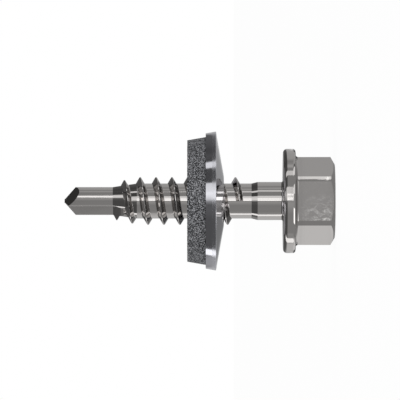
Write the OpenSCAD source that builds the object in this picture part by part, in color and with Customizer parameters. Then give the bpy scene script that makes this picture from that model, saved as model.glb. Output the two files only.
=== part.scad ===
// Self drilling screw, 4.8 x 22, with a hexagon washer head, a right hand thread,
// a two fluted drill point and a 14 mm bonded sealing washer on the thread.
// The screw stands on its head: the end face is at z = 0 and the tip points to +Z.
// Lengths are in millimetres.

/* [Head] */
// Width of the hexagon across its flats
hex_af = 7.94; // [7.4:0.01:8.2]
// How far each corner of the hexagon is rounded off
corner_cut = 0.155; // [0.03:0.005:0.3]
// How far the flat end face stops short of the flats
end_inset = 0.29; // [0.1:0.01:0.6]
// Angle between the end face and its chamfer
chamfer_angle = 30; // [15:1:40]
// Height of the head, flange included
head_h = 5.2; // [4.2:0.1:6.5]
// Diameter of the flange
flange_d = 10.5; // [10.1:0.1:13]
// Thickness of the flange
flange_t = 1.25; // [0.9:0.05:1.7]
// Rounding of the flange's rim on the hexagon's side
rim_top_r = 0.28; // [0.1:0.02:0.35]
// Rounding of the flange's rim on the bearing side
rim_under_r = 0.38; // [0.1:0.02:0.45]
// Fillet where the hexagon grows out of the flange
hex_fillet = 0.3; // [0.1:0.02:0.4]

/* [Shank] */
// Length from the bearing face to the tip
screw_len = 22; // [20:1:50]
// Diameter of the plain shank
shank_d = 3.84; // [3.6:0.02:4.2]
// Length of the plain shank
shank_len = 2.57; // [1:0.1:3]
// Length of the cone between the shank and the thread's core
neck_len = 0.61; // [0.3:0.05:1]
// Fillet between the bearing face and the shank
neck_fillet = 0.2; // [0.05:0.05:0.4]

/* [Thread] */
// Outer diameter of the thread
thread_d = 4.8; // [4.4:0.1:5]
// Diameter of the thread's core
core_d = 3.53; // [3.3:0.02:3.6]
// Pitch of the thread
pitch = 1.6; // [1.4:0.1:1.8]
// Angle between the two flanks of the ridge
flank_angle = 60; // [50:1:64]
// Width of the flat on the crest
crest_w = 0.1; // [0.06:0.01:0.16]
// Height of the fillet at the foot of the ridge
foot_h = 0.06; // [0.02:0.01:0.1]
// Distance from the bearing face to where the thread runs out
thread_from = 4.38; // [4:0.1:6]
// Turn over which the ridge rises at that end, in degrees
run_out = 95; // [60:5:180]
// Share of its height that the ridge has where it ends
run_out_h = 0.8; // [0.3:0.05:1]
// Height of the thread's first crest over the drill
first_h = 0.46; // [0.3:0.02:0.6]

/* [Drill point] */
// Diameter of the drill
drill_d = 2.82; // [2.4:0.02:3.1]
// Length of the drill, from the tip to the core's taper
drill_len = 4.87; // [4:0.1:6]
// Length of the taper between the core and the drill
taper_len = 2.43; // [1.8:0.1:3]
// Angle between the two cutting lips
point_angle = 97; // [85:1:130]
// Angle at which each flank falls away behind its lip
relief_angle = 39; // [10:1:42]
// Thickness of the web between the two flutes
web_t = 0.24; // [0.16:0.02:0.5]
// Lean of each flute's wall, under the heel of the land
wall_lean = 26; // [10:1:34]
// Lean of each flute's cutting face, back from its lip
face_lean = 13; // [0:1:20]
// Rounding at the bottom of each flute
flute_r = 0.12; // [0.08:0.02:0.24]
// How far each flute runs on past the drill before its run-out begins
flute_past = 0.02; // [0.01:0.01:0.6]
// Radius in which each flute's floor runs out
floor_r = 1.7; // [1:0.1:2.5]
// Radius in which each flute's wall runs out
wall_r = 1.1; // [0.8:0.1:1.6]
// Angle, from the plane of the lips, at which each round margin ends and its land begins
margin_end = 54; // [40:1:60]
// Angle at which each land leans in from the margin's circle
land_lean = 8; // [4:1:14]
// Radius of each land
land_r = 1.12; // [1:0.02:1.3]
// Length over which the lands fade out at the foot of the taper
land_fade = 0.9; // [0.6:0.1:1.4]

/* [Sealing washer] */
// Diameter of the metal washer
washer_d = 14; // [12:0.5:19]
// Thickness of the washer's sheet
washer_t = 1.05; // [0.7:0.05:1.5]
// Angle at which the sheet is dished
dish_angle = 10; // [4:1:12]
// Radial clearance between the thread and the hole in the sheet
hole_clearance = 0.12; // [0.08:0.02:0.4]
// Rounding of the sheet's outer edge
sheet_edge_r = 0.12; // [0.04:0.02:0.3]
// Thickness of the rubber seal
seal_t = 1.95; // [1:0.05:3]
// How far the seal stops short of the sheet's edge
seal_inset = 0.37; // [0.1:0.05:1]
// Radial clearance between the thread and the seal's bore
seal_clearance = 0.05; // [0.04:0.01:0.08]
// Distance from the bearing face at which the washer stands on the thread
washer_gap = 5.96; // [0.1:0.02:8]

/* [Hidden] */
$fn = 96;

steel_colour = [0.56, 0.55, 0.54];
sheet_colour = [0.62, 0.62, 0.65];
rubber_colour = [0.36, 0.365, 0.38];

// How far cutting shapes run on past what they cut, and how little surfaces are set apart so
// that they cross instead of touching
past = 1;
spare = 0.02;

// Radii
flange_r = flange_d / 2;
shank_r = shank_d / 2;
core_r = core_d / 2;
thread_r = thread_d / 2;
drill_r = drill_d / 2;
corner_r = hex_af / 2 / cos(30) - corner_cut;
end_r = hex_af / 2 - end_inset;

// Heights along the screw
flange_z = head_h - flange_t;
neck_z = head_h + shank_len;
core_z = neck_z + neck_len;
tip_z = head_h + screw_len;
drill_z = tip_z - drill_len;
taper_z = drill_z - taper_len;

// Thread: the crest is at crest_z on the +X side, step_deg is one step of its sweep, and bury is
// how deep its base is sunk into the core
step_deg = 10;
crest_half = crest_w / 2;
flank_run = tan(flank_angle / 2);
foot_run = tan(60);
bury = 0.08;
start_deg = -90;
crest_z = head_h + thread_from - pitch * start_deg / 360;
// The thread begins inside a flute, less than one turn away from the drill
first_deg = 207;
end_deg = first_deg + 360 * floor((drill_z - crest_z) / pitch - first_deg / 360);
// The crest starts to draw in a little before the core does
draw_in_early = 0.15;
draw_in = taper_len + draw_in_early;

// Drill: each land is round its own centre, and crosses the drill's circle where its margin ends
land_turn = margin_end + land_lean;
land_centre = drill_r * [cos(margin_end), -sin(margin_end)] - land_r * [cos(land_turn), -sin(land_turn)];
land_off = norm(land_centre);

// Points of a round stretch of an outline
function arc(centre, r, from, to, n) =
    [for (i = [0 : n]) centre + r * [cos(from + (to - from) * i / n), sin(from + (to - from) * i / n)]];

function blend(a, b, t) = a + (b - a) * max(0, min(1, t));

// Radius of the core, and of the crest where the ridge is whole
function core_at(z) = blend(core_r, drill_r, (z - taper_z) / taper_len);
function crest_at(z) = blend(thread_r, drill_r + first_h, (z - drill_z + draw_in) / draw_in);

// How deep the ridge's base is sunk, down to the relieved lands where the core tapers
function sunk_at(z) = bury + blend(0, 2 * land_off, (z - taper_z) / land_fade);

// How much of the ridge's height stands at an angle along the helix
function rise(deg) = blend(run_out_h, 1, (deg - start_deg) / run_out);

// One section of the ridge, as [radius, height] pairs from the lower foot over the crest
function ridge(deg) =
    let (z = crest_z + pitch * deg / 360)
    let (root = core_at(z))
    let (crest = root + (crest_at(z) - root) * rise(deg))
    let (foot = root + min(foot_h, (crest - root) / 2))
    let (foot_half = crest_half + (crest - foot) * flank_run)
    let (base_half = foot_half + (foot - root + bury) * foot_run)
    [
        [core_at(z - base_half) - sunk_at(z), z - base_half],
        [foot, z - foot_half],
        [crest, z - crest_half],
        [crest, z + crest_half],
        [foot, z + foot_half],
        [core_at(z + base_half) - sunk_at(z), z + base_half]
    ];

function on_helix(deg) = [for (p = ridge(deg)) [p[0] * cos(deg), p[0] * sin(deg), p[1]]];

// The thread's ridge, swept along its helix and sunk a little into the core
module thread_ridge() {
    steps = ceil((end_deg - start_deg) / step_deg);
    size = len(ridge(start_deg));
    points = [for (i = [0 : steps]) each on_helix(start_deg + (end_deg - start_deg) * i / steps)];
    sides = [
        for (i = [0 : steps - 1])
        for (j = [0 : size - 1])
        let (a = i * size + j)
        let (b = i * size + (j + 1) % size)
        each [[a, b, b + size], [a, b + size, a + size]]
    ];
    first = [for (j = [size - 1 : -1 : 0]) j];
    last = [for (j = [0 : size - 1]) steps * size + j];
    polyhedron(points, concat([first], sides, [last]), convexity = 10);
}

// Hexagon whose flats flare out in a fillet towards the flange
module hexagon_flats() {
    corner_angle = 60;
    turns = [for (turn = [0 : corner_angle : 360 - corner_angle]) turn];
    flats = len(turns);
    steps = 4;
    foot = arc([hex_af / 2 + hex_fillet, flange_z - hex_fillet], hex_fillet, 180, 90, steps);
    outline = concat([[hex_af / 2, 0]], foot, [[hex_af / 2 + hex_fillet, flange_z + flange_t / 2]]);
    rings = len(outline);
    points = [
        for (p = outline)
        for (turn = turns)
        let (corner = p[0] / cos(corner_angle / 2))
        [corner * cos(turn), corner * sin(turn), p[1]]
    ];
    sides = [
        for (i = [0 : rings - 2])
        for (k = [0 : flats - 1])
        let (n = (k + 1) % flats)
        let (low = flats * i)
        let (high = flats * (i + 1))
        [low + k, high + k, high + n, low + n]
    ];
    bottom = [for (k = [0 : flats - 1]) k];
    top = [for (k = [flats - 1 : -1 : 0]) flats * (rings - 1) + k];
    polyhedron(points, concat([bottom], sides, [top]));
}

// Round outline that chamfers the end, rounds the corners off and flares with the fillet
module hexagon_corners() {
    steps = 4;
    wide_r = corner_r + past;
    chamfer_h = (wide_r - end_r) * tan(chamfer_angle);
    foot = arc([corner_r + hex_fillet, flange_z - hex_fillet], hex_fillet, 180, 90, steps);
    intersection() {
        rotate_extrude()
            polygon(concat([[0, 0], [corner_r, 0]], foot,
                [[corner_r + hex_fillet, flange_z + flange_t / 2], [0, flange_z + flange_t / 2]]));
        union() {
            cylinder(h = chamfer_h, r1 = end_r, r2 = wide_r);
            translate([0, 0, chamfer_h])
                cylinder(h = head_h, r = wide_r);
        }
    }
}

module hexagon() {
    intersection() {
        hexagon_flats();
        hexagon_corners();
    }
}

// Flange, plain shank, core, taper and the drill's bar, turned as one outline
module blank() {
    steps = 5;
    top = arc([flange_r - rim_top_r, flange_z + rim_top_r], rim_top_r, -90, 0, steps);
    under = arc([flange_r - rim_under_r, head_h - rim_under_r], rim_under_r, 0, 90, steps);
    neck = arc([shank_r + neck_fillet, head_h + neck_fillet], neck_fillet, 270, 180, steps);
    rotate_extrude()
        polygon(concat([[0, flange_z]], top, under, neck, [
            [shank_r, neck_z],
            [core_r, core_z],
            [core_r, taper_z],
            [drill_r, drill_z],
            [drill_r, tip_z],
            [0, tip_z]
        ]));
}

// One half of what the bar is ground to: a land that runs on up the taper and fades out there.
// Below the taper it stands clear of the whole head and thread.
module land_side() {
    reach = 2 * flange_r;
    opening_h = 0.3;
    clear_r = core_r + land_off + spare;
    fade_from = taper_z + land_fade;
    split = 180 + (90 - face_lean - wall_lean) / 2;
    intersection() {
        translate([land_centre[0], land_centre[1], 0])
            rotate_extrude()
                polygon([
                    [0, -past],
                    [reach, -past],
                    [reach, taper_z - opening_h],
                    [clear_r, taper_z],
                    [land_r + core_at(fade_from) - drill_r, fade_from],
                    [land_r, drill_z],
                    [land_r, tip_z + past],
                    [0, tip_z + past]
                ]);
        rotate(split)
            translate([-2 * reach, -spare, -2 * past])
                cube([4 * reach, 4 * reach, tip_z + 4 * past]);
    }
}

// Round run-out below a straight stretch, at a plane that leans from the YZ plane. The round
// stands a little inside the plane and crosses it run_out_lead(r) further down.
function run_out_lead(r) = sqrt(spare * (2 * r - spare));

module run_out_wheel(lean, r, h) {
    reach = 3 * thread_d;
    rotate(-lean) {
        translate([-reach, -reach, 0])
            cube([2 * reach, 2 * reach, h]);
        translate([spare - r, 0, 0])
            rotate([90, 0, 0])
                cylinder(h = 2 * reach, r = r, center = true);
    }
}

// What one flute takes away: a wedge between the cutting face and the wall under the
// next land's heel, whose floor and wall both run out round at the thread
module flute() {
    reach = 2 * thread_d;
    steps = 4;
    corner = -web_t / 2 * [1, 1];
    face_deg = 180 - face_lean;
    wall_deg = 270 - wall_lean;
    half = (wall_deg - face_deg) / 2;
    centre = flute_r / sin(half) * [cos(face_deg + half), sin(face_deg + half)];
    top_h = drill_len + flute_past + past;
    wall_drop = wall_r / 4;
    translate([corner[0], corner[1], drill_z - flute_past + run_out_lead(floor_r)])
        intersection() {
            translate([0, 0, -floor_r])
                linear_extrude(floor_r + top_h)
                    polygon(concat(
                        [reach * [cos(face_deg), sin(face_deg)]],
                        arc(centre, flute_r, face_deg - 90, wall_deg - 270, steps),
                        [reach * [cos(wall_deg), sin(wall_deg)], -reach * [1, 1]]));
            run_out_wheel(face_lean - 90, floor_r, top_h);
            translate([0, 0, -wall_drop])
                run_out_wheel(wall_lean, wall_r, top_h + wall_drop);
        }
}

// What is ground away above one flank, which falls outwards and behind its lip.
// The lip leans back with the cutting face, so the flank's own fall outwards is less.
module above_flank() {
    back = tan(relief_angle);
    fall = [1 / tan(point_angle / 2) - back * tan(face_lean), back];
    tilt = atan(norm(fall));
    block = 2 * thread_d;
    translate([0, 0, tip_z])
        rotate(a = tilt, v = [fall[1], fall[0], 0])
            translate([-block / 2, -block / 2, 0])
                cube(block);
}

module screw() {
    color(steel_colour)
        difference() {
            union() {
                hexagon();
                intersection() {
                    blank();
                    for (side = [0, 180])
                        rotate(side)
                            land_side();
                }
                thread_ridge();
            }
            for (side = [0, 180])
                rotate(side) {
                    flute();
                    above_flank();
                }
        }
}

// Dished sheet: along is the outline's run outwards and across its thickness
hole_r = thread_r + hole_clearance;
bore_r = thread_r + seal_clearance;
crown_z = head_h + washer_gap;
along = [cos(dish_angle), sin(dish_angle)];
across = [-sin(dish_angle), cos(dish_angle)];
sheet_corner = [washer_d / 2, crown_z + (washer_d / 2 - hole_r) * tan(dish_angle)];
seal_corner = sheet_corner + washer_t * across - seal_inset * along;

// Height of the dish, at a radius and a depth below the sheet's head side
function dish_z(r, depth) = crown_z + (r - hole_r) * tan(dish_angle) + depth / cos(dish_angle);

module metal_washer() {
    steps = 4;
    rounding = sheet_corner + sheet_edge_r * (across - along);
    color(sheet_colour)
        rotate_extrude()
            polygon(concat([[hole_r, crown_z]],
                arc(rounding, sheet_edge_r, dish_angle - 90, dish_angle, steps),
                [sheet_corner + washer_t * across, [hole_r, dish_z(hole_r, washer_t)]]));
}

// Ring of rubber vulcanised to the hollow side of the sheet
module rubber_seal() {
    color(rubber_colour)
        rotate_extrude()
            polygon([
                [bore_r, dish_z(bore_r, washer_t)],
                seal_corner,
                seal_corner + seal_t * across,
                [bore_r, dish_z(bore_r, washer_t + seal_t)]
            ]);
}

screw();
metal_washer();
rubber_seal();
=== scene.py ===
import math

import bmesh
import bpy
from mathutils import Matrix, Vector


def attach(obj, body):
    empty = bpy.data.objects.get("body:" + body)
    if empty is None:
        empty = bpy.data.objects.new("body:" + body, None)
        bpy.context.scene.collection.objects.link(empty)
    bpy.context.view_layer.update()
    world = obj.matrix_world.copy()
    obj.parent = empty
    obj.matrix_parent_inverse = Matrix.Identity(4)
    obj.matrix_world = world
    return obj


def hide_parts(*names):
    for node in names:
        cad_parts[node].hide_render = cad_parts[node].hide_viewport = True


print("frame: loading the packed part")
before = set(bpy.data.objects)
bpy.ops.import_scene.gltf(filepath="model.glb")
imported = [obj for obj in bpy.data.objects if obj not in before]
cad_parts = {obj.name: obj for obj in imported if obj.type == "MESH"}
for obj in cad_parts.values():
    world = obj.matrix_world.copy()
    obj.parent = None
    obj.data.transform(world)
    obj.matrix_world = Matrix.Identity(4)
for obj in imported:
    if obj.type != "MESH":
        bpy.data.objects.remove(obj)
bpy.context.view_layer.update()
scene = bpy.context.scene
mm = 0.001
mergeGap = 2e-7  # metres, far under any real size here
creaseLimit = math.radians(24)  # an edge that folds more than this stays crisp
past = 1  # how far cutting shapes run on past what they cut
spare = 0.02  # how little surfaces are set apart so that they cross instead of touching


def linear(hexColour):
    parts = [int(hexColour[i:i + 2], 16) / 255 for i in (1, 3, 5)]
    return tuple(c / 12.92 if c <= 0.04045 else ((c + 0.055) / 1.055) ** 2.4 for c in parts) + (1.0,)


def addNode(tree, kind, inputs=None, **settings):
    # an input is given a value, a socket, or a node, which stands for its first output
    node = tree.nodes.new(kind)
    for name, value in settings.items():
        setattr(node, name, value)
    for key, value in (inputs or {}).items():
        if isinstance(value, bpy.types.Node):
            value = value.outputs[0]
        if isinstance(value, bpy.types.NodeSocket):
            tree.links.new(value, node.inputs[key])
        else:
            node.inputs[key].default_value = value
    return node


def newMaterial(name):
    material = bpy.data.materials.new(name)
    material.use_nodes = True
    material.node_tree.nodes.clear()
    return material, material.node_tree


def polar(radius, turn):
    return (radius * math.cos(math.radians(turn)), radius * math.sin(math.radians(turn)))


def arc(centre, radius, start, end, count):
    spokes = [polar(radius, start + (end - start) * i / count) for i in range(count + 1)]
    return [(centre[0] + x, centre[1] + y) for x, y in spokes]


def between(stations, at):
    # the value at one place, from (place, value) pairs in order, level past both ends
    if at <= stations[0][0]:
        return stations[0][1]
    for (p0, v0), (p1, v1) in zip(stations, stations[1:]):
        if at <= p1:
            return v0 + (v1 - v0) * (at - p0) / (p1 - p0)
    return stations[-1][1]


def meshFrom(name, shell):
    bmesh.ops.remove_doubles(shell, verts=shell.verts, dist=mergeGap)
    bmesh.ops.recalc_face_normals(shell, faces=shell.faces)
    mesh = bpy.data.meshes.new(name)
    shell.to_mesh(mesh)
    shell.free()
    made = bpy.data.objects.new(name, mesh)
    scene.collection.objects.link(made)
    return made


def turned(name, outline, segments, closed=False):
    # an outline of (radius, height) pairs, turned round the screw's axis
    shell = bmesh.new()
    rings = []
    for radius, height in outline:
        if radius == 0:
            rings.append([shell.verts.new((0, 0, height * mm))] * segments)
            continue
        reach = radius * mm
        angles = [2 * math.pi * k / segments for k in range(segments)]
        ring = [(reach * math.cos(a), reach * math.sin(a), height * mm) for a in angles]
        rings.append([shell.verts.new(p) for p in ring])
    pairs = list(zip(rings, rings[1:]))
    if closed:
        pairs.append((rings[-1], rings[0]))
    for lower, upper in pairs:
        for k in range(segments):
            n = (k + 1) % segments
            corners = list(dict.fromkeys([lower[k], lower[n], upper[n], upper[k]]))
            if len(corners) > 2:
                shell.faces.new(corners)
    return meshFrom(name, shell)


def extruded(name, points, depth):
    # points are (x, y, z) in mm, and depth is the vector that they are carried along
    shell = bmesh.new()
    near = [shell.verts.new(Vector(p) * mm) for p in points]
    far = [shell.verts.new((Vector(p) + Vector(depth)) * mm) for p in points]
    shell.faces.new(near)
    shell.faces.new(far)
    for k in range(len(points)):
        n = (k + 1) % len(points)
        shell.faces.new([near[k], near[n], far[n], far[k]])
    return meshFrom(name, shell)


def block(name, low, high):
    (x0, y0, z0), (x1, y1, z1) = low, high
    return extruded(name, [(x0, y0, z0), (x1, y0, z0), (x1, y1, z0), (x0, y1, z0)], (0, 0, z1 - z0))


def evaluatedMesh(made):
    graph = bpy.context.evaluated_depsgraph_get()
    mesh = bpy.data.meshes.new_from_object(made.evaluated_get(graph))
    made.modifiers.clear()
    return mesh


def combine(base, tool, operation):
    step = base.modifiers.new("combine", "BOOLEAN")
    step.operation = operation
    step.solver = "EXACT"
    step.object = tool
    base.data = evaluatedMesh(base)
    bpy.data.objects.remove(tool)
    return base


def creased(made):
    shell = bmesh.new()
    shell.from_mesh(made.data)
    for face in shell.faces:
        face.smooth = True
    for edge in shell.edges:
        edge.smooth = len(edge.link_faces) == 2 and edge.calc_face_angle(0) < creaseLimit
    shell.to_mesh(made.data)
    shell.free()
    # large flats stay flat beside their small roundings
    flatter = made.modifiers.new("flatter", "WEIGHTED_NORMAL")
    flatter.keep_sharp = True
    made.data = evaluatedMesh(made)
    return made


def settle(made, material, body, slot, *nodes):
    made.data.materials.clear()
    made.data.materials.append(material)
    for face in made.data.polygons:
        face.material_index = 0
    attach(made, body)
    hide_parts(*nodes)
    return made


# Camera: level with the middle of the screw and rolled, so that the drill points left

cameraSet = {"distance": 500, "height": 13.56, "aside": 0.1, "pixelsPerMm": 9.93, "imageWidth": 400,
             "sensor": 36, "clipFrom": 10, "clipTo": 20000}


def makeCamera(s):
    camera = bpy.data.objects.new("camera", bpy.data.cameras.new("camera"))
    scene.collection.objects.link(camera)
    camera.data.sensor_width = s["sensor"]
    camera.data.lens = s["sensor"] * s["pixelsPerMm"] * s["distance"] / s["imageWidth"]
    camera.data.clip_start = s["clipFrom"] * mm
    camera.data.clip_end = s["clipTo"] * mm
    right, up, back = Vector((0, 0, -1)), Vector((1, 0, 0)), Vector((0, -1, 0))
    place = Vector((s["aside"], -s["distance"], s["height"])) * mm
    camera.matrix_world = Matrix.Translation(place) @ Matrix((right, up, back)).transposed().to_4x4()
    scene.camera = camera


print("camera: at the photograph's angle")
makeCamera(cameraSet)

# The screw's sizes, as the part's own construction has them, with its rounds in finer steps

head = {"sides": 6, "acrossFlats": 7.94, "cornerCut": 0.155, "endInset": 0.29, "chamfer": 30, "height": 5.2,
        "flange": 10.5, "flangeHeight": 1.25, "rimTop": 0.28, "rimUnder": 0.38, "fillet": 0.3}
shank = {"length": 22, "diameter": 3.84, "plain": 2.57, "neck": 0.61, "fillet": 0.2}
# turns are in degrees along the helix; the skirt is the foot's edge, a little wider than its fillet
# and sunk a little into the core, in which the rest of the ridge is buried
thread = {"diameter": 4.8, "core": 3.53, "pitch": 1.6, "flank": 60, "crest": 0.1, "from": 4.38,
          "runOut": 95, "runOutShare": 0.8, "firstHeight": 0.46, "crestRound": 0.035, "footRound": 0.09,
          "roundSteps": 3, "skirt": 0.02, "sunk": 0.004, "buried": 0.85, "firstTurn": -90, "lastTurn": 2727,
          "stepsPerTurn": 72, "drawIn": 0.15}
drill = {"diameter": 2.82, "length": 4.87, "taper": 2.43, "point": 97, "relief": 39, "web": 0.24,
         "wallLean": 26, "faceLean": 13, "fluteRound": 0.12, "flutePast": 0.02, "floorRound": 1.7,
         "wallRound": 1.1, "wheelSteps": 24, "marginEnd": 54, "landLean": 8, "land": 1.12, "landFade": 0.9,
         "landOpening": 0.3}
segments = 240
roundSteps = 8

cornerShare = math.cos(math.radians(180 / head["sides"]))  # a flat's reach, as a share of a corner's
cornerRadius = head["acrossFlats"] / 2 / cornerShare - head["cornerCut"]
endRadius = head["acrossFlats"] / 2 - head["endInset"]
cornerTop = (cornerRadius - endRadius) * math.tan(math.radians(head["chamfer"]))
flangeZ = head["height"] - head["flangeHeight"]
neckZ = head["height"] + shank["plain"]
coreZ = neckZ + shank["neck"]
tipZ = head["height"] + shank["length"]
drillZ = tipZ - drill["length"]
taperZ = drillZ - drill["taper"]
fadeZ = taperZ + drill["landFade"]
coreRadius = thread["core"] / 2
drillRadius = drill["diameter"] / 2


def compass(radius, turn):
    # a point round the axis, clockwise from +X when seen from the tip
    return Vector((math.cos(math.radians(turn)), -math.sin(math.radians(turn)), 0)) * radius


landTurn = drill["marginEnd"] + drill["landLean"]
landCentre = compass(drillRadius, drill["marginEnd"]) - compass(drill["land"], landTurn)
clearRadius = coreRadius + landCentre.length + spare


def makeHexagon():
    half = head["acrossFlats"] / 2
    inside = flangeZ + head["flangeHeight"] / 2
    widen = 1 / cornerShare

    def flared(radius):
        # a fillet out to the flange, and an end inside it
        wide = radius + head["fillet"]
        foot = arc((wide, flangeZ - head["fillet"]), head["fillet"], 180, 90, roundSteps)
        return foot + [(wide, inside), (0, inside)]

    outline = [(0, 0), (half, 0)] + flared(half)
    flats = turned("flats", [(r * widen, z) for r, z in outline], head["sides"])
    outline = [(0, 0), (endRadius, 0), (cornerRadius, cornerTop)] + flared(cornerRadius)
    return combine(flats, turned("corners", outline, segments), "INTERSECT")


def makeBlank():
    rim = head["flange"] / 2
    shankRadius = shank["diameter"] / 2
    top, under, fillet = head["rimTop"], head["rimUnder"], shank["fillet"]
    outline = [(0, flangeZ)]
    outline += arc((rim - top, flangeZ + top), top, -90, 0, roundSteps)
    outline += arc((rim - under, head["height"] - under), under, 0, 90, roundSteps)
    outline += arc((shankRadius + fillet, head["height"] + fillet), fillet, 270, 180, roundSteps)
    outline += [(shankRadius, neckZ), (coreRadius, coreZ), (coreRadius, taperZ), (drillRadius, drillZ),
                (drillRadius, tipZ), (0, tipZ)]
    return turned("steelScrew", outline, segments)


def turnedRadius(z):
    # radius of the turned surfaces past the head's fillet
    stations = [(head["height"], shank["diameter"] / 2), (neckZ, shank["diameter"] / 2), (coreZ, coreRadius),
                (taperZ, coreRadius), (drillZ, drillRadius), (tipZ, drillRadius)]
    return between(stations, z)


def landRadius(z):
    atFade = drill["land"] + turnedRadius(fadeZ) - drillRadius
    return between([(taperZ, clearRadius), (fadeZ, atFade), (drillZ, drill["land"])], z)


def makeLandSide(side):
    # one half of what the drill's bar is ground to: a land round its own centre, fading out in the taper
    reach = head["flange"]
    outline = [(0, -past), (reach, -past), (reach, taperZ - drill["landOpening"])]
    outline += [(landRadius(z), z) for z in (taperZ, fadeZ, drillZ, tipZ + past)] + [(0, tipZ + past)]
    ground = turned("landSide", outline, segments)
    ground.data.transform(Matrix.Translation(landCentre * mm))
    half = block("half", (-2 * reach, -spare, -2 * past), (2 * reach, 2 * reach, tipZ + 2 * past))
    split = 180 + (90 - drill["faceLean"] - drill["wallLean"]) / 2
    half.data.transform(Matrix.Rotation(math.radians(split), 4, "Z"))
    combine(ground, half, "INTERSECT")
    ground.data.transform(Matrix.Rotation(math.radians(side), 4, "Z"))
    return ground


def ridgeSection():
    # one side of the ridge from its buried foot to the crest, as (half width, height) pairs
    slope = math.radians(thread["flank"] / 2)
    height = thread["diameter"] / 2 - coreRadius
    crestRound, footRound, steps = thread["crestRound"], thread["footRound"], thread["roundSteps"]

    def flankAt(y):
        return thread["crest"] / 2 + (height - y) * math.tan(slope)

    # the fillet at the foot touches the core and the flank, and the crest's rounding touches the flank
    leans = [math.radians((90 - thread["flank"] / 2) * i / steps) for i in range(steps + 1)]
    footX = flankAt(footRound) + footRound / math.cos(slope)
    foot = [(footX - footRound * math.sin(a), footRound - footRound * math.cos(a)) for a in leans]
    crestX = flankAt(height - crestRound) - crestRound / math.cos(slope)
    crestY = height - crestRound
    crest = [(crestX + crestRound * math.sin(a), crestY + crestRound * math.cos(a)) for a in reversed(leans)]
    skirt = foot[0][0] + thread["skirt"]
    return [(skirt, -thread["buried"]), (skirt, -thread["sunk"])] + foot[1:] + crest


def threadTree():
    # sweeps the section along a line and winds it into the thread
    tree = bpy.data.node_groups.new("windThread", "GeometryNodeTree")
    tree.interface.new_socket("Geometry", in_out="OUTPUT", socket_type="NodeSocketGeometry")
    sockets = {"Section": "Object", "Material": "Material", "Steps": "Int"}
    for name in ("Pitch", "First turn", "Last turn", "Height at no turn", "Core radius", "Crest radius",
                 "Drill radius", "Drill crest radius", "Taper from", "Taper to", "Draw in from",
                 "Run out", "Run out share"):
        sockets[name] = "Float"
    for name, kind in sockets.items():
        tree.interface.new_socket(name, in_out="INPUT", socket_type=f"NodeSocket{kind}")
    given = addNode(tree, "NodeGroupInput").outputs
    line = addNode(tree, "GeometryNodeCurvePrimitiveLine", {"End": (0, 0, 1)})
    line = addNode(tree, "GeometryNodeResampleCurve", {"Curve": line, "Count": given["Steps"]})
    travelled = addNode(tree, "GeometryNodeCaptureAttribute", {"Geometry": line})
    travelled.capture_items.new("FLOAT", "Share")
    share = addNode(tree, "GeometryNodeSplineParameter")
    tree.links.new(share.outputs["Factor"], travelled.inputs["Share"])
    section = addNode(tree, "GeometryNodeObjectInfo", {"Object": given["Section"]})
    shaped = addNode(tree, "GeometryNodeCaptureAttribute", {"Geometry": section.outputs["Geometry"]})
    shaped.capture_items.new("VECTOR", "Place")
    place = addNode(tree, "GeometryNodeInputPosition")
    tree.links.new(place.outputs[0], shaped.inputs["Place"])
    sweep = addNode(tree, "GeometryNodeCurveToMesh", {"Curve": travelled, "Profile Curve": shaped,
                    "Fill Caps": True})
    aside = addNode(tree, "ShaderNodeSeparateXYZ", {0: shaped.outputs["Place"]}).outputs
    turn = addNode(tree, "ShaderNodeMapRange", {"Value": travelled.outputs["Share"],
                   "To Min": given["First turn"], "To Max": given["Last turn"]})
    middle = addNode(tree, "ShaderNodeMath", {0: turn, 1: given["Pitch"], 2: given["Height at no turn"]},
                     operation="MULTIPLY_ADD")
    taper = {"From Min": given["Taper from"], "From Max": given["Taper to"], "To Min": given["Core radius"],
             "To Max": given["Drill radius"]}
    root = addNode(tree, "ShaderNodeMapRange", {"Value": middle, **taper})
    crest = addNode(tree, "ShaderNodeMapRange", {"Value": middle, "From Min": given["Draw in from"],
                    "From Max": given["Taper to"], "To Min": given["Crest radius"],
                    "To Max": given["Drill crest radius"]})
    ended = addNode(tree, "ShaderNodeMath", {0: given["First turn"], 1: given["Run out"]}, operation="ADD")
    rise = addNode(tree, "ShaderNodeMapRange", {"Value": turn, "From Min": given["First turn"],
                   "From Max": ended, "To Min": given["Run out share"], "To Max": 1.0})
    stands = addNode(tree, "ShaderNodeMath", {0: crest, 1: root}, operation="SUBTRACT")
    full = addNode(tree, "ShaderNodeMath", {0: given["Crest radius"], 1: given["Core radius"]},
                   operation="SUBTRACT")
    scale = addNode(tree, "ShaderNodeMath", {0: stands, 1: full}, operation="DIVIDE")
    scale = addNode(tree, "ShaderNodeMath", {0: scale, 1: rise}, operation="MULTIPLY")
    height = addNode(tree, "ShaderNodeMath", {0: aside["X"], 1: scale, 2: middle}, operation="MULTIPLY_ADD")
    # the foot follows the core's own radius at its height, also down the taper
    floor = addNode(tree, "ShaderNodeMapRange", {"Value": height, **taper})
    reach = addNode(tree, "ShaderNodeMath", {0: aside["Y"], 1: scale, 2: floor}, operation="MULTIPLY_ADD")
    angle = addNode(tree, "ShaderNodeMath", {0: turn, 1: 2 * math.pi}, operation="MULTIPLY")
    spot = addNode(tree, "ShaderNodeCombineXYZ", {"X": reach, "Z": height})
    wound = addNode(tree, "ShaderNodeVectorRotate", {"Vector": spot, "Angle": angle}, rotation_type="Z_AXIS")
    moved = addNode(tree, "GeometryNodeSetPosition", {"Geometry": sweep, "Position": wound})
    solid = addNode(tree, "GeometryNodeRealizeInstances", {"Geometry": moved})
    finished = addNode(tree, "GeometryNodeSetMaterial", {"Geometry": solid, "Material": given["Material"]})
    addNode(tree, "NodeGroupOutput", {0: finished})
    return tree


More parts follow.
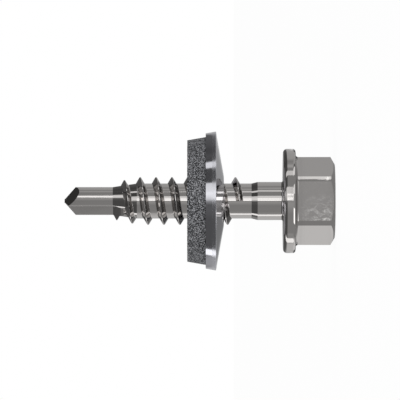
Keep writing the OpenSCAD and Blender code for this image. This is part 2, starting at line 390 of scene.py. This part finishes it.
def makeThread(material):
    half = ridgeSection()
    points = [(-x, y) for x, y in half] + [(x, y) for x, y in reversed(half)]
    section = bpy.data.curves.new("ridgeSection", "CURVE")
    section.dimensions = "2D"
    section.fill_mode = "NONE"
    line = section.splines.new("POLY")
    line.points.add(len(points) - 1)
    line.use_cyclic_u = True
    for point, (x, y) in zip(line.points, points):
        point.co = (x * mm, y * mm, 0, 1)
    sectionObject = bpy.data.objects.new("ridgeSection", section)
    scene.collection.objects.link(sectionObject)
    turns = [thread["firstTurn"] / 360, thread["lastTurn"] / 360]
    crestZ = head["height"] + thread["from"] - thread["pitch"] * turns[0]
    values = {
        "Section": sectionObject, "Material": material,
        "Steps": round(thread["stepsPerTurn"] * (turns[1] - turns[0])) + 1,
        "Pitch": thread["pitch"] * mm, "First turn": turns[0], "Last turn": turns[1],
        "Height at no turn": crestZ * mm,
        "Core radius": coreRadius * mm, "Crest radius": thread["diameter"] / 2 * mm,
        "Drill radius": drillRadius * mm, "Drill crest radius": (drillRadius + thread["firstHeight"]) * mm,
        "Taper from": taperZ * mm, "Taper to": drillZ * mm,
        "Draw in from": (taperZ - thread["drawIn"]) * mm,
        "Run out": thread["runOut"] / 360, "Run out share": thread["runOutShare"],
    }
    winder = bpy.data.objects.new("winder", bpy.data.meshes.new("winder"))
    scene.collection.objects.link(winder)
    winding = winder.modifiers.new("windThread", "NODES")
    winding.node_group = threadTree()
    for item in winding.node_group.interface.items_tree:
        if item.in_out == "INPUT":
            winding[item.identifier] = values[item.name]
    shell = bmesh.new()
    shell.from_mesh(evaluatedMesh(winder))
    bpy.data.objects.remove(sectionObject)
    bpy.data.objects.remove(winder)
    return meshFrom("ridge", shell)


def runOutWheel(lean, radius, top, drop=0):
    # a straight stretch that ends in a round, tangent to a plane that leans from the YZ plane
    reach = 3 * thread["diameter"]
    outline = [(reach, 0), (reach, top), (-reach, top), (-reach, 0)]
    outline += arc((spare - radius, 0), radius, 180, 360, drill["wheelSteps"])
    turn = Matrix.Rotation(math.radians(-lean), 3, "Z")
    points = [turn @ Vector((x, -reach, z - drop)) for x, z in outline]
    return extruded("wheel", points, turn @ Vector((0, 2 * reach, 0)))


def makeFlute(side):
    # a wedge between the cutting face and the wall under the next land's heel, with both run out round
    reach = 2 * thread["diameter"]
    faceTurn, wallTurn = 180 - drill["faceLean"], 270 - drill["wallLean"]
    half = (wallTurn - faceTurn) / 2
    centre = polar(drill["fluteRound"] / math.sin(math.radians(half)), faceTurn + half)
    outline = [polar(reach, faceTurn)]
    outline += arc(centre, drill["fluteRound"], faceTurn - 90, wallTurn - 270, roundSteps)
    outline += [polar(reach, wallTurn), (-reach, -reach)]
    top = drill["length"] + drill["flutePast"] + past
    low = -drill["floorRound"]
    wallDrop = drill["wallRound"] / 4
    wedge = extruded("flute", [(x, y, low) for x, y in outline], (0, 0, top - low))
    combine(wedge, runOutWheel(drill["faceLean"] - 90, drill["floorRound"], top + past), "INTERSECT")
    combine(wedge, runOutWheel(drill["wallLean"], drill["wallRound"], top + past, wallDrop), "INTERSECT")
    # the floor's round stands a little inside its plane and crosses it this much further down
    lead = math.sqrt(spare * (2 * drill["floorRound"] - spare))
    corner = Vector((-drill["web"] / 2, -drill["web"] / 2, drillZ - drill["flutePast"] + lead))
    wedge.data.transform(Matrix.Rotation(math.radians(side), 4, "Z") @ Matrix.Translation(corner * mm))
    return wedge


def makeAboveFlank(side):
    # what is ground away above one flank, which falls outwards and behind its lip
    back = math.tan(math.radians(drill["relief"]))
    lipBack = math.tan(math.radians(drill["faceLean"]))
    outwards = 1 / math.tan(math.radians(drill["point"] / 2)) - back * lipBack
    reach = thread["diameter"]
    above = block("aboveFlank", (-reach, -reach, 0), (reach, reach, 2 * reach))
    tilt = Matrix.Rotation(math.atan(math.hypot(outwards, back)), 4, Vector((back, outwards, 0)).normalized())
    lift = Matrix.Translation((0, 0, tipZ * mm))
    above.data.transform(Matrix.Rotation(math.radians(side), 4, "Z") @ lift @ tilt)
    return above


def roundNormals(made):
    # a face on a turned surface takes that surface's own normals, so that no cut ripples its reflections
    mesh = made.data
    normals = [Vector(n.vector) for n in mesh.corner_normals]
    # each surface has its axis's x and y, its lowest and highest place, and its radius there
    surfaces = [(0, 0, cornerTop, flangeZ - head["fillet"], lambda z: cornerRadius),
                (0, 0, flangeZ + head["rimTop"], head["height"] - head["rimUnder"],
                 lambda z: head["flange"] / 2),
                (0, 0, head["height"] + shank["fillet"], tipZ, turnedRadius),
                (landCentre.x, landCentre.y, taperZ, tipZ, landRadius),
                (-landCentre.x, -landCentre.y, taperZ, tipZ, landRadius)]
    tolerance = 0.002
    endLean = 0.5  # a normal that leans further belongs to an end
    cutTurn = creaseLimit / 3  # and one that is turned further away belongs to a cut
    for face in mesh.polygons:
        places = [mesh.vertices[v].co / mm for v in face.vertices]
        heights = [p.z for p in places]
        for cx, cy, lowest, highest, radiusAt in surfaces:
            if min(heights) < lowest - tolerance or max(heights) > highest + tolerance:
                continue
            spokes = [Vector((p.x - cx, p.y - cy, 0)) for p in places]
            if any(abs(s.length - radiusAt(z)) > tolerance for z, s in zip(heights, spokes)):
                continue
            lean = face.normal.z
            outward = Vector((face.normal.x, face.normal.y, 0))
            if abs(lean) > endLean or any(outward.angle(spoke) > cutTurn for spoke in spokes):
                continue
            for loop, spoke in zip(face.loop_indices, spokes):
                normals[loop] = spoke.normalized() * math.sqrt(1 - lean ** 2) + Vector((0, 0, lean))
            break
    mesh.normals_split_custom_set(normals)
    return made


# Bright zinc plating over cold formed, case hardened steel: a clean, slightly warm mirror. Where the
# hexagon was rubbed its skin is duller, so the eye gets sharp streaks of light and one cloudy flat.
# The plating's real grain is about 0.02 mm and the forming die's rings are about 0.05 mm apart. Both
# are drawn near 0.1 mm, a pixel of the photograph, so that they show. Levels are a noise's values at
# which its marks begin and are full.
steel = {"colour": "#c4c1bf", "roughness": 0.05, "grain": 0.12, "grainDepth": 0.004,
         "scuffColour": "#f4f2f0", "scuffRoughness": 0.22, "scuffSize": 0.5, "scuffLevels": (0.46, 0.62),
         "scuffSlant": 28, "scuffStretch": 0.55, "scuffSpot": (-1.6, 1.3), "scuffReach": 2.6,
         "scuffDepth": 0.01, "ring": 0.09, "ringLevels": (0.4, 0.6), "ringShade": 0.08, "ringsBegin": 2.9,
         "ringsFull": 3.6}


def zincPlatedSteel(s):
    material, tree = newMaterial("zincPlatedSteel")
    where = addNode(tree, "ShaderNodeTexCoord").outputs["Object"]
    place = addNode(tree, "ShaderNodeSeparateXYZ", {0: where}).outputs
    frontFlat = -head["acrossFlats"] / 2
    # cloudy scuffs round one spot of the hexagon's front flat
    spot = Vector((s["scuffSpot"][0], frontFlat, s["scuffSpot"][1])) * mm
    away = addNode(tree, "ShaderNodeVectorMath", {0: where, 1: spot}, operation="DISTANCE")
    near = addNode(tree, "ShaderNodeMapRange", {"Value": away.outputs["Value"],
                   "From Max": s["scuffReach"] * mm, "To Min": 1.0, "To Max": 0.0})
    slanted = addNode(tree, "ShaderNodeMapping", {"Vector": where,
                      "Rotation": (0, math.radians(s["scuffSlant"]), 0), "Scale": (1, 1, s["scuffStretch"])})
    cloud = addNode(tree, "ShaderNodeTexNoise", {"Vector": slanted, "Scale": 1 / (s["scuffSize"] * mm),
                    "Detail": 8.0, "Roughness": 0.7, "Distortion": 0.4})
    scuffed = addNode(tree, "ShaderNodeMapRange", {"Value": cloud, "From Min": s["scuffLevels"][0],
                      "From Max": s["scuffLevels"][1]})
    scuffed = addNode(tree, "ShaderNodeMath", {0: scuffed, 1: near}, operation="MULTIPLY")
    onFlat = addNode(tree, "ShaderNodeMath", {0: place["Y"], 1: (frontFlat + s["scuffDepth"]) * mm},
                     operation="LESS_THAN")
    scuffed = addNode(tree, "ShaderNodeMath", {0: scuffed, 1: onFlat}, operation="MULTIPLY")
    rough = addNode(tree, "ShaderNodeMapRange", {"Value": scuffed, "To Min": s["roughness"],
                    "To Max": s["scuffRoughness"]})
    colour = addNode(tree, "ShaderNodeMix", {"Factor": scuffed, "A": linear(s["colour"]),
                     "B": linear(s["scuffColour"])}, data_type="RGBA")
    # faint rings that the forming die left by the hexagon's foot
    rings = addNode(tree, "ShaderNodeTexNoise", {"W": place["Z"], "Scale": 1 / (s["ring"] * mm),
                    "Detail": 0.0}, noise_dimensions="1D")
    ringed = addNode(tree, "ShaderNodeMapRange", {"Value": rings, "From Min": s["ringLevels"][0],
                     "From Max": s["ringLevels"][1], "To Max": s["ringShade"]})
    begun = addNode(tree, "ShaderNodeMapRange", {"Value": place["Z"], "From Min": s["ringsBegin"] * mm,
                    "From Max": s["ringsFull"] * mm})
    ended = addNode(tree, "ShaderNodeMath", {0: place["Z"], 1: flangeZ * mm}, operation="LESS_THAN")
    ringed = addNode(tree, "ShaderNodeMath", {0: ringed, 1: begun}, operation="MULTIPLY")
    ringed = addNode(tree, "ShaderNodeMath", {0: ringed, 1: ended}, operation="MULTIPLY")
    colour = addNode(tree, "ShaderNodeMix", {"Factor": ringed, "A": colour.outputs["Result"],
                     "B": (0, 0, 0, 1)}, data_type="RGBA")
    grain = addNode(tree, "ShaderNodeTexNoise", {"Vector": where, "Scale": 1 / (s["grain"] * mm),
                    "Detail": 2.0})
    bump = addNode(tree, "ShaderNodeBump", {"Strength": 0.1, "Distance": s["grainDepth"] * mm,
                   "Height": grain})
    skin = addNode(tree, "ShaderNodeBsdfPrincipled", {"Base Color": colour.outputs["Result"], "Metallic": 1.0,
                   "Roughness": rough, "Normal": bump})
    addNode(tree, "ShaderNodeOutputMaterial", {"Surface": skin})
    return material


print("screw: blank, hexagon, thread and drill point")
steelSkin = zincPlatedSteel(steel)
screw = makeBlank()
combine(screw, combine(makeLandSide(0), makeLandSide(180), "UNION"), "INTERSECT")
combine(screw, makeHexagon(), "UNION")
combine(screw, makeThread(steelSkin), "UNION")
for side in (0, 180):
    combine(screw, makeFlute(side), "DIFFERENCE")
    combine(screw, makeAboveFlank(side), "DIFFERENCE")
settle(roundNormals(creased(screw)), steelSkin, "screw", "zinc_plated_steel", "screw")
print("screw: faces", len(screw.data.polygons))

# Sealing washer: a dished sheet, with a rubber seal bonded to its hollow side

# the photograph shows the sheet's edge crisp, so its rounding is less than in the part's own construction
washer = {"diameter": 14, "thickness": 1.05, "dish": 10, "holeClearance": 0.12, "edgeRound": 0.03,
          "edgeSteps": 6, "seal": 1.95, "sealInset": 0.37, "sealClearance": 0.05, "gap": 5.96,
          "segments": 256}

dishLean = math.radians(washer["dish"])
along = Vector((math.cos(dishLean), math.sin(dishLean)))  # outwards in the sheet, as radius and height
across = Vector((-math.sin(dishLean), math.cos(dishLean)))  # through its thickness
holeRadius = thread["diameter"] / 2 + washer["holeClearance"]
boreRadius = thread["diameter"] / 2 + washer["sealClearance"]
crownZ = head["height"] + washer["gap"]
rimRadius = washer["diameter"] / 2
sheetCorner = Vector((rimRadius, crownZ + (rimRadius - holeRadius) * math.tan(dishLean)))
sealCorner = sheetCorner + washer["thickness"] * across - washer["sealInset"] * along


def dishZ(radius, depth):
    return crownZ + (radius - holeRadius) * math.tan(dishLean) + depth / math.cos(dishLean)


def makeSheet():
    depth, edge = washer["thickness"], washer["edgeRound"]
    outline = [(holeRadius, crownZ)]
    outline += arc(sheetCorner + edge * (across - along), edge, washer["dish"] - 90, washer["dish"],
                   washer["edgeSteps"])
    outline += [tuple(sheetCorner + depth * across), (holeRadius, dishZ(holeRadius, depth))]
    return turned("metalWasher", outline, washer["segments"], closed=True)


def makeSeal():
    near, far = washer["thickness"], washer["thickness"] + washer["seal"]
    outline = [(boreRadius, dishZ(boreRadius, near)), tuple(sealCorner),
               tuple(sealCorner + washer["seal"] * across), (boreRadius, dishZ(boreRadius, far))]
    return turned("rubberSeal", outline, washer["segments"], closed=True)


# Stainless sheet, punched, dished and brushed round its axis: cool white metal whose fine turning
# lines draw each reflection out across the ring. The real lines are about 0.03 mm apart, and are drawn
# at 0.09 mm, near a pixel of the photograph, so that they show.
sheet = {"colour": "#d4d4da", "roughness": 0.09, "rimRoughness": 0.17, "rimWidth": 0.07, "line": 0.09,
         "lineDepth": 0.004, "lineSpread": (0.7, 1.3)}


def stainlessSheet(s):
    material, tree = newMaterial("brushedStainlessSheet")
    where = addNode(tree, "ShaderNodeTexCoord").outputs["Object"]
    place = addNode(tree, "ShaderNodeSeparateXYZ", {0: where}).outputs
    flat = addNode(tree, "ShaderNodeCombineXYZ", {"X": place["X"], "Y": place["Y"]})
    radius = addNode(tree, "ShaderNodeVectorMath", {0: flat}, operation="LENGTH").outputs["Value"]
    ring = addNode(tree, "ShaderNodeCombineXYZ", {"X": radius, "Y": place["Z"]})
    lines = addNode(tree, "ShaderNodeTexNoise", {"Vector": ring, "Scale": 1 / (s["line"] * mm),
                    "Detail": 3.0})
    # the sheared rim is duller than the rolled faces
    onRim = addNode(tree, "ShaderNodeMath", {0: radius, 1: (rimRadius - s["rimWidth"]) * mm},
                    operation="GREATER_THAN")
    dull = addNode(tree, "ShaderNodeMapRange", {"Value": onRim, "To Min": s["roughness"],
                   "To Max": s["rimRoughness"]})
    spread = addNode(tree, "ShaderNodeMapRange", {"Value": lines, "To Min": s["lineSpread"][0],
                     "To Max": s["lineSpread"][1]})
    rough = addNode(tree, "ShaderNodeMath", {0: dull, 1: spread}, operation="MULTIPLY")
    bump = addNode(tree, "ShaderNodeBump", {"Strength": 0.25, "Distance": s["lineDepth"] * mm,
                   "Height": lines})
    skin = addNode(tree, "ShaderNodeBsdfPrincipled", {"Base Color": linear(s["colour"]), "Metallic": 1.0,
                   "Roughness": rough, "Normal": bump})
    addNode(tree, "ShaderNodeOutputMaterial", {"Surface": skin})
    return material


# Vulcanised EPDM, moulded in a blasted tool: matt slate grey with a sandy grain that the light picks
# out as small dark and pale specks. The real grit is about 0.04 mm, and is drawn at 0.09 mm, near a
# pixel of the photograph, so that it shows.
# the last two values are the width in mm and the strength of the painted shade where the rubber meets the
# sheet
rubber = {"colour": "#46474b", "dark": "#0a0a0b", "pale": "#a8a9ad", "roughness": 0.78, "grain": 0.09,
          "grainDepth": 0.05, "darkLevels": (0.42, 0.5), "paleLevels": (0.52, 0.62), "paintedShadeWidth": 0.16,
          "paintedShadeStrength": 0.75}


def epdmRubber(s):
    material, tree = newMaterial("mouldedEpdmRubber")
    where = addNode(tree, "ShaderNodeTexCoord").outputs["Object"]
    grit = addNode(tree, "ShaderNodeTexNoise", {"Vector": where, "Scale": 1 / (s["grain"] * mm),
                   "Detail": 1.0, "Roughness": 0.5})
    level = addNode(tree, "ShaderNodeMapRange", {"Value": grit, "From Min": s["darkLevels"][0],
                    "From Max": s["darkLevels"][1]})
    pale = addNode(tree, "ShaderNodeMapRange", {"Value": grit, "From Min": s["paleLevels"][0],
                   "From Max": s["paleLevels"][1]})
    colour = addNode(tree, "ShaderNodeMix", {"Factor": level, "A": linear(s["dark"]),
                     "B": linear(s["colour"])}, data_type="RGBA")
    colour = addNode(tree, "ShaderNodeMix", {"Factor": pale, "A": colour.outputs["Result"],
                     "B": linear(s["pale"])}, data_type="RGBA")
    # painted shade: the colour is darkened in a band where the rubber leaves the sheet that it is bonded to,
    # standing in for the shade under the sheet's edge
    place = addNode(tree, "ShaderNodeSeparateXYZ", {0: where}).outputs
    flat = addNode(tree, "ShaderNodeCombineXYZ", {"X": place["X"], "Y": place["Y"]})
    radius = addNode(tree, "ShaderNodeVectorMath", {0: flat}, operation="LENGTH").outputs["Value"]
    bonded = addNode(tree, "ShaderNodeMath", {0: radius, 1: math.tan(dishLean),
                     2: dishZ(0, washer["thickness"]) * mm}, operation="MULTIPLY_ADD")
    above = addNode(tree, "ShaderNodeMath", {0: place["Z"], 1: bonded}, operation="SUBTRACT")
    paintedBondShade = addNode(tree, "ShaderNodeMapRange", {"Value": above, "From Max": s["paintedShadeWidth"] * mm,
                    "To Min": s["paintedShadeStrength"], "To Max": 0.0})
    colour = addNode(tree, "ShaderNodeMix", {"Factor": paintedBondShade, "A": colour.outputs["Result"],
                     "B": (0, 0, 0, 1)}, data_type="RGBA")
    bump = addNode(tree, "ShaderNodeBump", {"Strength": 0.6, "Distance": s["grainDepth"] * mm,
                   "Height": grit})
    skin = addNode(tree, "ShaderNodeBsdfPrincipled", {"Base Color": colour.outputs["Result"],
                   "Roughness": s["roughness"], "IOR": 1.52, "Normal": bump})
    addNode(tree, "ShaderNodeOutputMaterial", {"Surface": skin})
    return material


print("washer: sheet and seal")
metalWasher = creased(makeSheet())
settle(metalWasher, stainlessSheet(sheet), "sealing_washer", "stainless_sheet", "metal_washer")
rubberSeal = creased(makeSeal())
settle(rubberSeal, epdmRubber(rubber), "sealing_washer", "epdm_rubber", "rubber_seal")

# Studio: white floor and backdrop, strip lamps along the screw, and a bowl of cards that only gloss sees

studio = {"middle": tipZ / 2, "lampDistance": 500, "floorReach": 1500, "floorDepth": 1,
          # the world's level on matt surfaces, and the floor's where it is seen itself or in gloss
          "fill": 0.75, "floorWhite": 0.94,
          # strip lamps: from and to round the axis, 0 at the camera and + towards +X, half height, level
          "strips": [(1, 31, 30, 1.4), (60, 71, 30, 1.0), (-104, -88, 30, 1.5)],
          # cards round the axis: angle, then greys on the floor by the head, further out on the floor,
          # level with the screw, a little higher, and well above it
          "cards": [(-180, 0.12, 0.12, 0.42, 0.12, 0.12), (-165, 0.12, 0.12, 0.5, 0.15, 0.12),
                    (-150, 0.12, 0.12, 0.62, 0.3, 0.12), (-142, 0.12, 0.5, 0.66, 0.35, 0.12),
                    (-133, 0.12, 0.83, 0.7, 0.4, 0.12), (-131, 0.81, 0.83, 0.7, 0.4, 0.12),
                    (-112, 0.81, 0.83, 0.72, 0.4, 0.12), (-110, 0.81, 0.81, 0.72, 0.4, 0.12),
                    (-105.2, 0.86, 0.5, 0.5, 0.4, 0.12), (-104.4, 0.86, 1.5, 1.5, 1.5, 1.5),
                    (-90.8, 0.86, 1.5, 1.5, 1.5, 1.5), (-90, 0.86, 0.44, 0.44, 0.2, 0.12),
                    (-84, 0.8, 0.38, 0.38, 0.1, 0.1), (-79, 0.5, 0.42, 0.42, 0.1, 0.1),
                    (-74, 0.3, 0.33, 0.33, 0.1, 0.1), (-70, 0.33, 0.33, 0.33, 0.1, 0.1),
                    (-44, 0.33, 0.33, 0.33, 0.1, 0.1), (-43, 2.2, 0.33, 0.33, 0.1, 0.1),
                    (-30, 2.2, 0.34, 0.32, 0.1, 0.1), (-20, 2.2, 0.4, 0.38, 0.11, 0.12),
                    (-14, 2.2, 0.44, 0.42, 0.12, 0.13), (-12.8, 0.43, 0.43, 0.44, 0.12, 0.13),
                    (-6, 0.43, 0.45, 0.46, 0.12, 0.12), (0, 0.43, 0.45, 0.38, 0.12, 0.35),
                    (1, 0.43, 0.45, 0.38, 0.12, 0.5), (1.6, 0.43, 0.45, 1.9, 1.5, 0.72),
                    (7.5, 0.43, 0.45, 1.9, 1.5, 1.05), (8.5, 0.43, 0.45, 1.3, 1.2, 1.08),
                    (11.5, 0.43, 0.44, 1.3, 1.2, 1.18), (12.8, 0.43, 0.44, 1.9, 1.5, 1.22),
                    (14, 1.2, 0.44, 1.9, 1.5, 1.2), (15.5, 1.2, 0.42, 1.9, 1.5, 1.15),
                    (16.5, 1.2, 0.42, 1.07, 1, 1.05), (30.5, 1.2, 0.38, 1.07, 1, 0.9),
                    (31.5, 0.33, 0.36, 0.35, 0.1, 0.11), (35, 0.33, 0.34, 0.33, 0.1, 0.08),
                    (57.7, 0.33, 0.33, 0.33, 0.1, 0.08), (58.5, 1.15, 1.15, 0.88, 1, 1),
                    (69.6, 1.15, 1.15, 0.88, 1, 1), (70.4, 0.2, 0.34, 0.34, 0.08, 0.08),
                    (77, 0.12, 0.34, 0.34, 0.08, 0.08), (80, 0.5, 0.5, 0.54, 0.1, 0.1),
                    (84, 0.5, 0.5, 0.54, 0.1, 0.1), (90, 0.5, 0.38, 0.38, 0.08, 0.08),
                    (97, 0.5, 0.33, 0.33, 0.08, 0.08), (104, 0.5, 0.44, 0.44, 0.09, 0.08),
                    (106, 0.5, 0.5, 0.46, 0.1, 0.08), (108, 0.5, 0.5, 0.5, 0.1, 0.08),
                    (131, 0.5, 0.5, 0.5, 0.12, 0.08), (133, 0.12, 0.5, 0.5, 0.12, 0.08),
                    (142, 0.12, 0.5, 0.5, 0.12, 0.08), (150, 0.12, 0.12, 0.5, 0.12, 0.1),
                    (165, 0.12, 0.12, 0.5, 0.12, 0.12), (180, 0.12, 0.12, 0.42, 0.12, 0.12)],
          # the bowl's outline: radius and height in mm, shares of those five greys, and a grey of its own
          "bowl": [(3.7, 0.005, 0, 0, 0, 0, 0, 0.3), (4.5, 0.05, 0, 0, 0, 0, 0, 0.3),
                   (7, 0.05, 0, 0, 0, 0, 0, 0.32), (9, 0.05, 1, 0, 0, 0, 0, 0), (24, 0.05, 1, 0, 0, 0, 0, 0),
                   (28, 0.05, 0, 1, 0, 0, 0, 0), (195, 0.05, 0, 1, 0, 0, 0, 0), (205, 0.05, 0, 0, 1, 0, 0, 0),
                   (650, 0.05, 0, 0, 1, 0, 0, 0), (650, 42, 0, 0, 1, 0, 0, 0), (650, 66, 0, 0, 0, 1, 0, 0),
                   (650, 120, 0, 0, 0, 1, 0, 0), (650, 190, 0, 0, 0, 0, 1, 0), (600, 360, 0, 0, 0, 0, 1, 0),
                   (560, 440, 0, 0, 0, 0, 0, 0.11), (450, 550, 0, 0, 0, 0, 0, 0.11),
                   (300, 640, 0, 0, 0, 0, 0, 0.12), (1, 720, 0, 0, 0, 0, 0, 0.3)],
          # patches before the bowl: from and to round the axis, then radius, height and grey of both edges
          "patches": [(5, 27, 27, 0.1, 2.8, 36, 0.1, 2.8), (52.5, 61.5, 28, 0.1, 2.4, 33, 0.1, 2.4),
                      (-96.5, -87, 27, 0.1, 2.6, 36, 0.1, 2.6), (-106, -96.5, 24, 0.1, 0.45, 45, 0.1, 0.45),
                      (50, 59, 8, 0.1, 1.15, 16, 0.1, 1.15), (53, 59, 16, 0.1, 1.15, 28, 0.1, 1.15),
                      (55.5, 59, 33, 0.1, 1.15, 70, 0.1, 1.15),
                      (150, 180, 22, 0.1, 0.32, 46, 0.1, 0.33), (150, 180, 46, 0.1, 0.33, 150, 0.1, 0.75),
                      (150, 180, 150, 0.1, 0.75, 240, 0.1, 0.75), (180, 210, 22, 0.1, 0.19, 50, 0.1, 0.2),
                      (180, 210, 50, 0.1, 0.2, 160, 0.1, 0.7), (180, 210, 160, 0.1, 0.7, 240, 0.1, 0.7),
                      (-14, 6.6, 640, 33, 0.45, 640, 48, 0.45), (6.6, 22.5, 640, 33, 1.6, 640, 48, 1.6),
                      (22.5, 32, 640, 33, 0.42, 640, 48, 0.42), (110, 142, 535, 430, 0.045, 435, 535, 0.045),
                      (110, 142, 435, 535, 0.045, 290, 620, 0.045),
                      (2, 31, 400, 520, 1.3, 290, 600, 1.3), (57, 71, 640, 17, 0.42, 640, 45, 0.42),
                      (-106, -89.5, 640, 17, 0.62, 640, 45, 0.62)], "patchSteps": 24}


def direction(turn):
    return Vector((math.sin(math.radians(turn)), -math.cos(math.radians(turn)), 0))


def makeStrips(s):
    # they light what is matt, and metal sees their likeness on the cards
    up = Vector((0, 0, 1))
    for number, (start, end, halfHeight, level) in enumerate(s["strips"]):
        lamp = bpy.data.lights.new(f"strip{number}", "AREA")
        lamp.shape = "RECTANGLE"
        lamp.size = 2 * s["lampDistance"] * mm * math.tan(math.radians(end - start) / 2)
        lamp.size_y = 2 * s["lampDistance"] * mm * math.tan(math.radians(halfHeight))
        lamp.energy = level * math.pi * lamp.size * lamp.size_y
        holder = bpy.data.objects.new(f"strip{number}", lamp)
        scene.collection.objects.link(holder)
        out = direction((start + end) / 2)
        turn = Matrix((up.cross(out), up, out)).transposed().to_4x4()
        holder.matrix_world = Matrix.Translation((out * s["lampDistance"] + up * s["middle"]) * mm) @ turn
        holder.visible_camera = False
        holder.visible_glossy = False


def makeCards(s):
    shell = bmesh.new()
    grey = shell.verts.layers.float.new("grey")

    def addRow(radius, height, turns, greys):
        row = [shell.verts.new((direction(turn) * radius + Vector((0, 0, height))) * mm) for turn in turns]
        for vert, level in zip(row, greys):
            vert[grey] = level
        return row

    def addFaces(lower, upper):
        for k in range(len(lower) - 1):
            shell.faces.new([lower[k], lower[k + 1], upper[k + 1], upper[k]])

    rows = []
    for radius, height, *shares, own in s["bowl"]:
        greys = [own + sum(share * level for share, level in zip(shares, card[1:])) for card in s["cards"]]
        rows.append(addRow(radius, height, [card[0] for card in s["cards"]], greys))
    for lower, upper in zip(rows, rows[1:]):
        addFaces(lower, upper)
    steps = s["patchSteps"]
    for start, end, *edges in s["patches"]:
        turns = [start + (end - start) * k / steps for k in range(steps + 1)]
        addFaces(*[addRow(radius, height, turns, [level] * len(turns)) for radius, height, level in
                   (edges[:3], edges[3:])])
    mesh = bpy.data.meshes.new("cards")
    shell.to_mesh(mesh)
    shell.free()
    cards = bpy.data.objects.new("cards", mesh)
    scene.collection.objects.link(cards)
    material, tree = newMaterial("greyCard")
    level = addNode(tree, "ShaderNodeAttribute", attribute_name="grey").outputs["Color"]
    glow = addNode(tree, "ShaderNodeEmission", {"Color": level, "Strength": 1.0})
    addNode(tree, "ShaderNodeOutputMaterial", {"Surface": glow})
    mesh.materials.append(material)
    cards.visible_camera = False
    cards.visible_diffuse = False
    cards.visible_shadow = False
    cards.visible_transmission = False


def seenDirectly(tree):
    # 1 for what the camera sees itself or in gloss or glass, 0 for the light on matt surfaces
    path = addNode(tree, "ShaderNodeLightPath").outputs
    either = addNode(tree, "ShaderNodeMath", {0: path["Is Camera Ray"], 1: path["Is Glossy Ray"]},
                     operation="ADD")
    return addNode(tree, "ShaderNodeMath", {0: either, 1: path["Is Transmission Ray"]}, operation="ADD",
                   use_clamp=True)


def makeFloor(s):
    reach = s["floorReach"]
    floor = block("floor", (-reach, -reach, -s["floorDepth"]), (reach, reach, 0))
    material, tree = newMaterial("paleFloor")
    matt = addNode(tree, "ShaderNodeBsdfDiffuse", {"Color": linear("#fafafa")})
    white = addNode(tree, "ShaderNodeEmission", {"Color": (1, 1, 1, 1), "Strength": 1.0})
    share = addNode(tree, "ShaderNodeMath", {0: seenDirectly(tree), 1: s["floorWhite"]}, operation="MULTIPLY")
    both = addNode(tree, "ShaderNodeMixShader", {0: share, 1: matt, 2: white})
    addNode(tree, "ShaderNodeOutputMaterial", {"Surface": both})
    floor.data.materials.append(material)


def makeWorld(s):
    world = bpy.data.worlds.new("studio")
    world.use_nodes = True
    tree = world.node_tree
    tree.nodes.clear()
    level = addNode(tree, "ShaderNodeMapRange", {"Value": seenDirectly(tree), "To Min": s["fill"],
                    "To Max": 1.0})
    sky = addNode(tree, "ShaderNodeBackground", {"Color": (1, 1, 1, 1), "Strength": level})
    addNode(tree, "ShaderNodeOutputWorld", {"Surface": sky})
    scene.world = world


print("studio: floor, lamps and cards")
makeFloor(studio)
makeStrips(studio)
makeCards(studio)
makeWorld(studio)
scene.view_settings.view_transform = "Standard"
